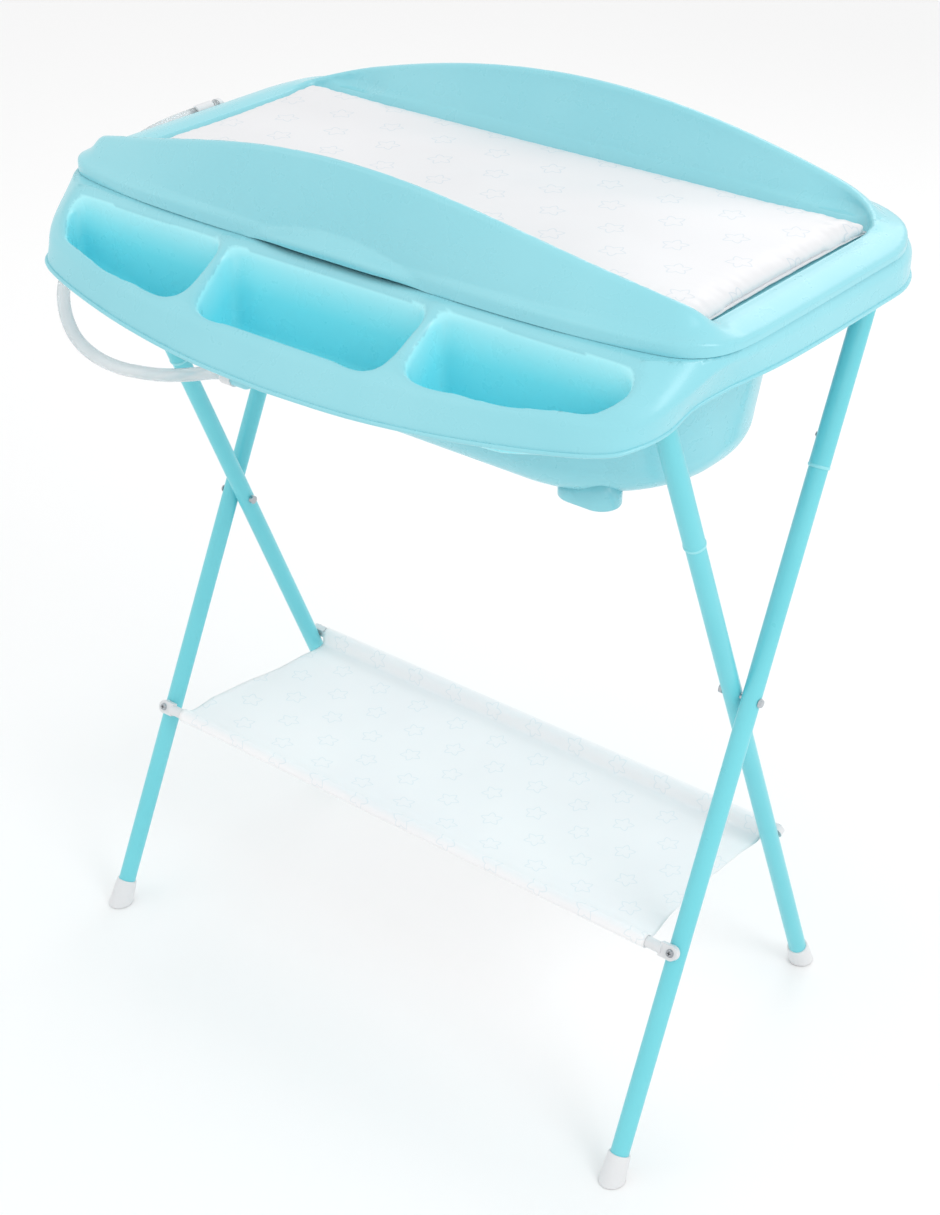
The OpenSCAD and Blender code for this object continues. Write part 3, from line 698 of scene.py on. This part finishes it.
def pad_start():
    """Flat closed form, thickest away from its welded edge."""
    nu, nv = 116, 54
    us = np.sin(np.linspace(-1, 1, nu + 1) * math.pi / 2 * 0.92) / math.sin(math.pi / 2 * 0.92)
    vs = np.sin(np.linspace(-1, 1, nv + 1) * math.pi / 2 * 0.92) / math.sin(math.pi / 2 * 0.92)
    points, faces = [], []
    for side in (1, -1):
        for u in us:
            for v in vs:
                x, y = pad_point(u, v)
                edge = min((1 - abs(u)) * 348, (1 - abs(v)) * 152)
                full = math.sqrt(max(1 - (1 - min(edge / 11, 1)) ** 2, 0))
                z = PAD_SEAM_Z + (1.2 + 7.5 * full if side > 0 else -1.2 - 1.8 * full)
                points.append((x, y, z))
    row = nv + 1
    layer = (nu + 1) * row
    for i in range(nu):
        for j in range(nv):
            a = i * row + j
            faces.append((a, a + row, a + row + 1, a + 1))
            faces.append((layer + a + 1, layer + a + row + 1, layer + a + row, layer + a))
    border = [i * row for i in range(nu)] + [nu * row + j for j in range(nv)] + \
             [i * row + nv for i in range(nu, 0, -1)] + [j for j in range(nv, 0, -1)]
    for a, b in zip(border, border[1:] + border[:1]):
        faces.append((b, a, layer + a, layer + b))
    return mesh_object("pad_cover", np.array(points) * MM, faces)


def applied(obj):
    """Replaces an object's mesh with what its modifiers make of it."""
    depsgraph = bpy.context.evaluated_depsgraph_get()
    mesh = bpy.data.meshes.new_from_object(obj.evaluated_get(depsgraph))
    obj.modifiers.clear()
    obj.data = mesh
    mesh.shade_smooth()


def inflate(obj, cap, lowest):
    """Swells a closed cover under pressure; no point moves more than cap or below lowest."""
    remesh = obj.modifiers.new("remesh", "REMESH")
    remesh.mode = "VOXEL"
    remesh.voxel_size = PAD_VOXEL
    applied(obj)
    start = np.array([v.co for v in obj.data.vertices])
    swell = obj.modifiers.new("cloth", "CLOTH")
    swell.settings.use_pressure = True
    swell.settings.uniform_pressure_force = 4.0
    swell.settings.tension_stiffness = 15
    swell.settings.compression_stiffness = 15
    swell.settings.bending_stiffness = 0.6
    swell.settings.effector_weights.gravity = 0.0
    swell.point_cache.frame_start = 1
    swell.point_cache.frame_end = PAD_SWELL_FRAMES
    scene = bpy.context.scene
    for number in range(1, PAD_SWELL_FRAMES + 1):
        scene.frame_set(number)
    applied(obj)
    scene.frame_set(1)
    end = np.array([v.co for v in obj.data.vertices])
    move = end - start
    size = np.linalg.norm(move, axis=1)
    end = start + move * np.minimum(1, cap / np.maximum(size, 1e-9))[:, None]
    end[:, 2] = np.maximum(end[:, 2], lowest)
    obj.data.vertices.foreach_set("co", end.astype(np.float32).ravel())
    obj.data.update()


def subdivided(obj):
    finer = obj.modifiers.new("finer", "SUBSURF")
    finer.levels = 1
    finer.render_levels = 1
    applied(obj)


pad = pad_start()
inflate(pad, PAD_CAP, PAD_LOWEST)
subdivided(pad)


def pucker(obj):
    """Short creases that run in from the welded edge, strongest at the corners."""
    points = np.array([v.co for v in obj.data.vertices]) / MM
    x, y, z = points.T
    ex = 350 - np.abs(x)
    ey = PAD_HALF_Y - np.abs(y - PAD_CENTRE_Y)
    along = np.where(ex < ey, y, x)
    edge = np.minimum(ex, ey)
    corner = np.exp(-np.hypot(ex, ey) / 55)
    wave = np.sin(along * 0.31 + 2 * np.sin(along * 0.07)) + 0.6 * np.sin(along * 0.57 + 1.7)
    depth = wave * np.exp(-np.abs(edge) / 13) * (0.35 + 1.9 * corner)
    points[:, 2] += np.where(z > PAD_SEAM_Z, depth, 0)
    soft = np.sin(x * 0.021 + 0.9 * np.sin(y * 0.03)) * np.sin(y * 0.034 + 0.5) * 0.9
    points[:, 2] += np.where(z > PAD_SEAM_Z + 2, soft * np.clip(edge / 40, 0, 1), 0)
    points[:, 2] = np.maximum(points[:, 2], 912.3)
    obj.data.vertices.foreach_set("co", (points * MM).astype(np.float32).ravel())
    obj.data.update()


pucker(pad)
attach(pad, "changer")
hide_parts("changer_pad")


def weld_strip():
    """Thin flat seam that stands out round the pad, drawn out to a point at each corner."""
    corners = []
    steps = 150
    for k in range(4 * steps):
        side, t = divmod(k, steps)
        w = -1 + 2 * t / steps
        corners.append([(w, -1), (1, w), (-w, 1), (-1, -w)][side])
    inner, outer = [], []
    for k, (u, v) in enumerate(corners):
        x, y = pad_point(u, v)
        reach = 1.6 + 2.0 * max(abs(u) + abs(v) - 1.92, 0) * 12
        out = np.array([u if abs(u) > 0.97 else 0.0, v if abs(v) > 0.97 else 0.0])
        out = out / max(np.linalg.norm(out), 1e-6)
        lift = 0.5 * math.sin(k * 0.21) + 0.3 * math.sin(k * 0.53)
        inner.append((x - 9 * out[0], y - 9 * out[1], PAD_SEAM_Z - 0.5))
        outer.append((x + (reach - 4) * out[0], y + (reach - 4) * out[1],
                      PAD_SEAM_Z - 1.0 + 0.5 * lift))
    n = len(inner)
    up = np.array([0, 0, 0.45])
    points = np.vstack([np.array(inner) + up, np.array(outer) + up,
                        np.array(outer) - up, np.array(inner) - up])
    faces = []
    for ring in range(4):
        for i in range(n):
            j = (i + 1) % n
            a, b = ring * n, ((ring + 1) % 4) * n
            faces.append((a + i, b + i, b + j, a + j))
    return mesh_object("pad_weld", points * MM, faces)


weld = weld_strip()
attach(weld, "changer")

# ---------------------------------------------------------------- shelf cloth
FRONT_ROD = (-95.1, 236.0)
BACK_ROD = (147.7, 237.0)
SHELF_FRONT_X, SHELF_BACK_X = 332.0, 322.0
SHELF_WRAP_R = 7.1
SHELF_SAG = 5.0
SHELF_THICKNESS = 0.001


def shelf_profile():
    """Across the shelf in y and z: round the front rod, over the trough, round the back rod."""
    f, b = np.array(FRONT_ROD), np.array(BACK_ROD)
    turn = np.radians(np.linspace(-75, -345, 24))
    front = [tuple(f + SHELF_WRAP_R * np.array([math.cos(a), math.sin(a)])) for a in turn]
    middle = smooth_curve([front[-1], (f[0] + 22, 233), (f[0] + 50, 229.5), (f[0] + 95, 226.5),
                           (f[0] + 150, 224.8), (f[0] + 205, 224.0), (b[0] - 19, 223.6),
                           (b[0] - 9.2, 225.2), (b[0] - 7.4, 229), (b[0] - 7.2, 234)], 7)
    turn = np.radians(np.linspace(172, -75, 22))
    back = [tuple(b + SHELF_WRAP_R * np.array([math.cos(a), math.sin(a)])) for a in turn]
    return even_points(np.vstack([front, middle[1:], back]), 120)


def shelf_sheet():
    """The cloth on its two rods: low in the middle, pulled straight at its two free ends."""
    profile = shelf_profile()
    count = 150
    points = []
    for i in range(count + 1):
        u = 2 * i / count - 1
        for y, z in profile:
            across = min(max((y - FRONT_ROD[0] - 12) / (BACK_ROD[0] - FRONT_ROD[0] - 30), 0), 1)
            x = u * (SHELF_FRONT_X + (SHELF_BACK_X - SHELF_FRONT_X) * across)
            end = (1 - abs(u)) * SHELF_FRONT_X
            free = (4 * across * (1 - across)) ** 0.8
            sag = -SHELF_SAG * free * (1 - u ** 2)
            chord = 242 - 17 * across
            taut = max(chord - z, 0) * math.exp(-end / 60) * min(8 * across * (1 - across), 1)
            pull = 1.0 * free * math.exp(-end / 75) * math.sin(0.055 * y + 0.02 * abs(x) + 1.1)
            soft = 1.2 * free * math.sin(0.023 * x + 0.6) * math.sin(0.03 * y + 0.02 * x)
            narrow = 1 - 0.010 * free
            points.append((x * narrow, y, z + sag + taut + pull + soft))
    m = len(profile)
    faces = [(i * m + j, (i + 1) * m + j, (i + 1) * m + j + 1, i * m + j + 1)
             for i in range(count) for j in range(m - 1)]
    sheet = mesh_object("shelf_sheet", np.array(points) * MM, faces)
    length = float(np.linalg.norm(np.diff(profile, axis=0), axis=1).sum()) * MM
    layout = sheet.data.uv_layers.new(name="cut")
    for loop in sheet.data.loops:
        i, j = divmod(loop.vertex_index, m)
        layout.data[loop.index].uv = (2 * SHELF_FRONT_X * MM * i / count, length * j / (m - 1))
    solid = sheet.modifiers.new("thick", "SOLIDIFY")
    solid.thickness = SHELF_THICKNESS
    solid.offset = 0.0
    applied(sheet)
    return sheet, length


shelf, shelf_length = shelf_sheet()
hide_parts("shelf_fabric")
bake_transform(shelf)


# ---------------------------------------------------------------- screw recesses as painted shade, and joint collars
def cross_recess_shade(name, place, direction, body):
    """The cross in a screw head, as two thin bars that just show above it, dark as painted shade
    for the recess.
    """
    axis = Vector(direction).normalized()
    turn = axis.to_track_quat("Z", "Y").to_matrix()
    points, faces = [], []
    for length, width in ((4.6, 0.9), (0.9, 4.6)):
        base = len(points)
        for dz in (-0.6, 0.12):
            for dx, dy in ((-1, -1), (1, -1), (1, 1), (-1, 1)):
                points.append(Vector(place) + turn @ Vector((dx * length / 2, dy * width / 2, dz)))
        faces += [tuple(base + i for i in f) for f in (
            (3, 2, 1, 0), (4, 5, 6, 7), (0, 1, 5, 4), (1, 2, 6, 5), (2, 3, 7, 6), (3, 0, 4, 7))]
    obj = mesh_object(name, np.array(points) * MM, faces, smooth=False)
    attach(obj, body)
    return obj


def joint_ring(name, place, along, radius, body):
    """Thin collar where a lower tube enters an upper one."""
    axis = Vector(along).normalized()
    turn = axis.to_track_quat("Z", "Y").to_matrix()
    rings = []
    for height, r in ((-1.6, radius - 1.3), (-1.2, radius - 0.3), (-0.4, radius), (1.4, radius),
                      (1.9, radius - 0.4), (1.9, radius - 1.3)):
        circle = [Vector((r * math.cos(a), r * math.sin(a), height))
                  for a in np.linspace(0, 2 * math.pi, 40, endpoint=False)]
        rings.append([tuple(Vector(place) + turn @ point) for point in circle])
    obj = lofted(name, rings)
    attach(obj, body)
    return obj


COLLAR_R = 11.3
SCREW_REACH = 12.45
SHELF_SCREW_X = 361.7
SHELF_SCREW_REACH = 6.0
OUTER_FACE = (0, -0.906, 0.424)
collars = []
for side, word in ((-1, "left"), (1, "right")):
    collars.append(joint_ring("outer_collar_" + word, (side * 353.48, 134.24, 692.5),
                              (side * -0.018, 0.469, 1), COLLAR_R, "outer_frame"))
    collars.append(joint_ring("inner_collar_" + word, (side * 335.09, -55.77, 681.5),
                              (side * -0.002, -0.424, 1), COLLAR_R, "inner_frame"))

recess_shades = []
for side, word in ((-1, "left"), (1, "right")):
    shelf_screw = (side * SHELF_SCREW_X, FRONT_ROD[0] + SHELF_SCREW_REACH * OUTER_FACE[1],
                   FRONT_ROD[1] + SHELF_SCREW_REACH * OUTER_FACE[2])
    recess_shades.append(cross_recess_shade("shelf_cross_" + word, shelf_screw, OUTER_FACE, "outer_frame"))
    for frame_name, x, y, z in (("outer", 353.0, 146.67, 719), ("inner", 335.0, -75.06, 727)):
        recess_shades.append(cross_recess_shade(frame_name + "_cross_" + word,
                                     (side * (x - SCREW_REACH), y, z), (-side, 0, 0),
                                     frame_name + "_frame"))


# ---------------------------------------------------------------- materials
def new_material(name):
    material = bpy.data.materials.new(name)
    material.use_nodes = True
    nodes = material.node_tree.nodes
    nodes.clear()
    output = nodes.new("ShaderNodeOutputMaterial")
    shader = nodes.new("ShaderNodeBsdfPrincipled")
    material.node_tree.links.new(shader.outputs[0], output.inputs[0])
    return material, nodes, material.node_tree.links, shader


def srgb(code):
    values = [int(code[i:i + 2], 16) / 255 for i in (1, 3, 5)]
    return tuple(v / 12.92 if v <= 0.04045 else ((v + 0.055) / 1.055) ** 2.4 for v in values) + (1,)


def noise(nodes, links, scale, detail=3.0):
    coordinates = nodes.new("ShaderNodeTexCoord")
    texture = nodes.new("ShaderNodeTexNoise")
    texture.inputs["Scale"].default_value = scale
    texture.inputs["Detail"].default_value = detail
    texture.inputs["Roughness"].default_value = 0.5
    links.new(coordinates.outputs["Object"], texture.inputs["Vector"])
    return texture.outputs["Fac"]


def ramp(nodes, links, value, stops):
    node = nodes.new("ShaderNodeValToRGB")
    links.new(value, node.inputs["Fac"])
    elements = node.color_ramp.elements
    while len(elements) < len(stops):
        elements.new(0.5)
    for element, (position, color) in zip(elements, stops):
        element.position = position
        element.color = color
    return node.outputs["Color"]


def bump(nodes, links, shader, height, strength, distance):
    node = nodes.new("ShaderNodeBump")
    node.inputs["Strength"].default_value = strength
    node.inputs["Distance"].default_value = distance
    links.new(height, node.inputs["Height"])
    links.new(node.outputs["Normal"], shader.inputs["Normal"])


def math_node(nodes, links, operation, *values):
    node = nodes.new("ShaderNodeMath")
    node.operation = operation
    for socket, value in zip(node.inputs, values):
        if isinstance(value, (int, float)):
            socket.default_value = value
        else:
            links.new(value, socket)
    return node.outputs[0]


def mix_colors(nodes, links, factor, a, b):
    node = nodes.new("ShaderNodeMix")
    node.data_type = "RGBA"
    links.new(factor, node.inputs["Factor"])
    for socket, value in ((node.inputs[6], a), (node.inputs[7], b)):
        if isinstance(value, tuple):
            socket.default_value = value
        else:
            links.new(value, socket)
    return node.outputs[2]


def star_print(nodes, links, space, pitch_x, pitch_y, outer_r, inner_r, line):
    """1 on the outlines of five-pointed stars in staggered rows, 0 elsewhere."""
    def m(operation, *values):
        return math_node(nodes, links, operation, *values)
    coordinates = nodes.new("ShaderNodeTexCoord")
    split = nodes.new("ShaderNodeSeparateXYZ")
    links.new(coordinates.outputs[space], split.inputs[0])
    row = m("DIVIDE", split.outputs["Y"], pitch_y)
    shift = m("MULTIPLY", m("FLOORED_MODULO", m("FLOOR", row), 2.0), 0.5)
    column = m("ADD", m("DIVIDE", split.outputs["X"], pitch_x), shift)
    dx = m("MULTIPLY", m("SUBTRACT", m("FRACT", column), 0.5), pitch_x)
    dy = m("MULTIPLY", m("SUBTRACT", m("FRACT", row), 0.5), pitch_y)
    turn = m("ADD", m("MULTIPLY", m("FLOOR", column), 1.9), m("MULTIPLY", m("FLOOR", row), 0.8))
    angle = m("ADD", m("ARCTAN2", dy, dx), turn)
    tip = m("ABSOLUTE", m("SUBTRACT", m("FRACT", m("DIVIDE", angle, 2 * math.pi / 5)), 0.5))
    edge = m("ADD", inner_r, m("MULTIPLY", tip, 2 * (outer_r - inner_r)))
    radius = m("SQRT", m("ADD", m("MULTIPLY", dx, dx), m("MULTIPLY", dy, dy)))
    off = m("ABSOLUTE", m("SUBTRACT", radius, edge))
    return m("SUBTRACT", 1.0, m("MINIMUM", m("DIVIDE", off, line), 1.0))


GRAIN_SCALE = 300.0
GRAIN_DEPTH = 0.008


def plastic(name, dark, light, low_gloss, high_gloss):
    """Moulded plastic: faint cloudiness in colour and gloss, and a fine surface grain."""
    material, nodes, links, shader = new_material(name)
    links.new(ramp(nodes, links, noise(nodes, links, 6.0), [(0.3, srgb(dark)), (0.7, srgb(light))]),
              shader.inputs["Base Color"])
    shine = nodes.new("ShaderNodeMapRange")
    shine.inputs["To Min"].default_value = low_gloss
    shine.inputs["To Max"].default_value = high_gloss
    links.new(noise(nodes, links, 45.0), shine.inputs["Value"])
    links.new(shine.outputs["Result"], shader.inputs["Roughness"])
    bump(nodes, links, shader, noise(nodes, links, GRAIN_SCALE), GRAIN_DEPTH, 0.0003)
    return material, shader


def painted_pocket_light(name, shallow_dark, shallow_light, deep_painted_light):
    """Moulded plastic whose colour deepens where the mesh's hollow attribute rises, as painted
    light in the pockets: a painted highlight near their edges and a saturated cyan for painted
    bounce light deeper in.
    """
    material, shader = plastic(name, shallow_dark, shallow_light, 0.24, 0.32)
    nodes, links = material.node_tree.nodes, material.node_tree.links
    hollow = nodes.new("ShaderNodeAttribute")
    hollow.attribute_name = "hollow"
    surface = shader.inputs["Base Color"].links[0].from_socket
    # painted light: #aff0f7 is a painted highlight near the pocket edges, the deep colour painted
    # bounce light further down
    inside = ramp(nodes, links, hollow.outputs["Fac"],
                  [(0.0, srgb("#aff0f7")), (1.0, srgb(deep_painted_light))])
    edge = math_node(nodes, links, "MINIMUM",
                     math_node(nodes, links, "MULTIPLY", hollow.outputs["Fac"], 8.0), 1.0)
    links.new(mix_colors(nodes, links, edge, surface, inside), shader.inputs["Base Color"])
    return material, shader


def mark_pocket_light_depth(obj, shape):
    """Stores how deep each point lies in a pocket, from 0 at its edge to 1, which sets the painted
    pocket light.
    """
    points = np.array([v.co for v in obj.data.vertices]) / MM
    x, y, z = points.T
    inside = np.zeros(len(points), bool)
    for pocket in shape.pockets:
        inside |= pocket.d(x, y) < 3
    inside &= z > POCKET_FLOOR - 1
    depth = np.where(inside, np.clip((shape.top(x, y) - z - 2) / 45, 0, 1), 0)
    layer = obj.data.attributes.new("hollow", "FLOAT", "POINT")
    layer.data.foreach_set("value", depth.astype(np.float32))


STAR_WAIST = 0.52
STAR_LINE = 0.0014


def printed(name, ground_dark, ground_light, ink, strength, gloss, space, pitch_x, pitch_y,
            outer_r, weave_scale, weave_depth):
    """Vinyl or cloth with a faint print of stars, over a fine weave."""
    material, nodes, links, shader = new_material(name)
    ground = ramp(nodes, links, noise(nodes, links, 5.0),
                  [(0.3, srgb(ground_dark)), (0.7, srgb(ground_light))])
    stars = star_print(nodes, links, space, pitch_x, pitch_y, outer_r, outer_r * STAR_WAIST,
                       STAR_LINE)
    factor = math_node(nodes, links, "MULTIPLY", stars, strength)
    links.new(mix_colors(nodes, links, factor, ground, srgb(ink)), shader.inputs["Base Color"])
    shader.inputs["Roughness"].default_value = gloss
    bump(nodes, links, shader, noise(nodes, links, weave_scale, 2.0), weave_depth, 0.0005)
    return material


# the last colour is painted bounce light for the pocket depths; the pockets also get a painted
# highlight near their edges
aqua, aqua_shader = painted_pocket_light("aqua_plastic", "#8bd2dd", "#93d6e0", "#82e8f3")
aqua_shader.inputs["Coat Weight"].default_value = 0.15
aqua_shader.inputs["Coat Roughness"].default_value = 0.12
mark_pocket_light_depth(tub, tub_shape)
paint, _ = plastic("leg_paint", "#6ccdd8", "#76d3dd", 0.25, 0.34)
collar_paint, _ = plastic("collar_paint", "#8fdbe3", "#98e0e7", 0.25, 0.34)
white_plastic, _ = plastic("white_plastic", "#dadbdd", "#e4e5e6", 0.38, 0.48)
steel, steel_shader = plastic("zinc_steel", "#9fa3a8", "#c4c8cc", 0.22, 0.38)
steel_shader.inputs["Metallic"].default_value = 1.0
# near-black painted shade standing in for the shadowed cross recesses in the screw heads
recess_shade, _ = plastic("screw_recess_shade", "#1d2023", "#2c3034", 0.5, 0.6)
cloth = printed("shelf_cloth", "#f3f2f3", "#f8f7f7", "#a9c9d6", 0.24, 0.75, "UV",
                0.062, 0.042, 0.0125, 1500.0, 0.25)
vinyl = printed("pad_vinyl", "#dfdfe1", "#e5e5e7", "#a3bccb", 0.40, 0.36, "Object",
                0.070, 0.048, 0.0130, 420.0, 0.10)
hose_clear, hose_shader = plastic("hose_vinyl", "#e3eaed", "#f2f6f7", 0.12, 0.2)
hose_shader.inputs["Transmission Weight"].default_value = 0.55
hose_shader.inputs["IOR"].default_value = 1.3
hose_shader.inputs["Alpha"].default_value = 0.82

BY_SLOT = {"aqua_plastic": aqua, "leg_paint": paint, "white_plastic": white_plastic,
           "zinc_steel": steel, "shelf_cloth": cloth, "pad_vinyl": vinyl, "hose_vinyl": hose_clear}
slots = {s["node"]: s["material_slot"] for s in frame["record"]["subparts"]}
for name, node in frame["nodes"].items():
    node.data.materials.clear()
    node.data.materials.append(BY_SLOT[slots[name]])
for piece, material in ((tub, aqua), (changer, aqua), (boss, aqua), (bead, aqua),
                        (pad, vinyl), (weld, vinyl), (shelf, cloth), (hose, hose_clear)):
    piece.data.materials.clear()
    piece.data.materials.append(material)
for piece in recess_shades:
    piece.data.materials.append(recess_shade)
for piece in collars:
    piece.data.materials.append(collar_paint)

# ---------------------------------------------------------------- studio
floor = mesh_object("studio_floor", [(-6, -6, 0), (6, -6, 0), (6, 6, 0), (-6, 6, 0)],
                    [(0, 1, 2, 3)], smooth=False)
floor.location.z = -0.001
floor_material, _, _, floor_shader = new_material("studio_floor")
floor_shader.inputs["Base Color"].default_value = (0.94, 0.94, 0.94, 1)
floor_shader.inputs["Roughness"].default_value = 0.9
floor.data.materials.append(floor_material)

world = bpy.data.worlds.new("studio")
bpy.context.scene.world = world
world.use_nodes = True
world.node_tree.nodes["Background"].inputs["Color"].default_value = (1, 1, 1, 1)
world.node_tree.nodes["Background"].inputs["Strength"].default_value = 0.97


def area_light(name, place, target, size, power):
    data = bpy.data.lights.new(name, "AREA")
    data.size = size
    data.energy = power
    light = bpy.data.objects.new(name, data)
    light.location = place
    light.rotation_euler = (Vector(target) - Vector(place)).to_track_quat("-Z", "Y").to_euler()
    bpy.context.scene.collection.objects.link(light)


KEY_POWER, FILL_POWER, RIM_POWER = 16, 5, 9
area_light("key", (2.4, -0.4, 2.2), (0, 0, 0.8), 1.2, KEY_POWER)
area_light("fill", (-1.8, -2.2, 2.2), (0, 0, 0.7), 2.2, FILL_POWER)
area_light("rim", (-0.6, 2.2, 2.4), (0, 0, 0.8), 1.4, RIM_POWER)
bpy.context.scene.view_settings.view_transform = "Standard"
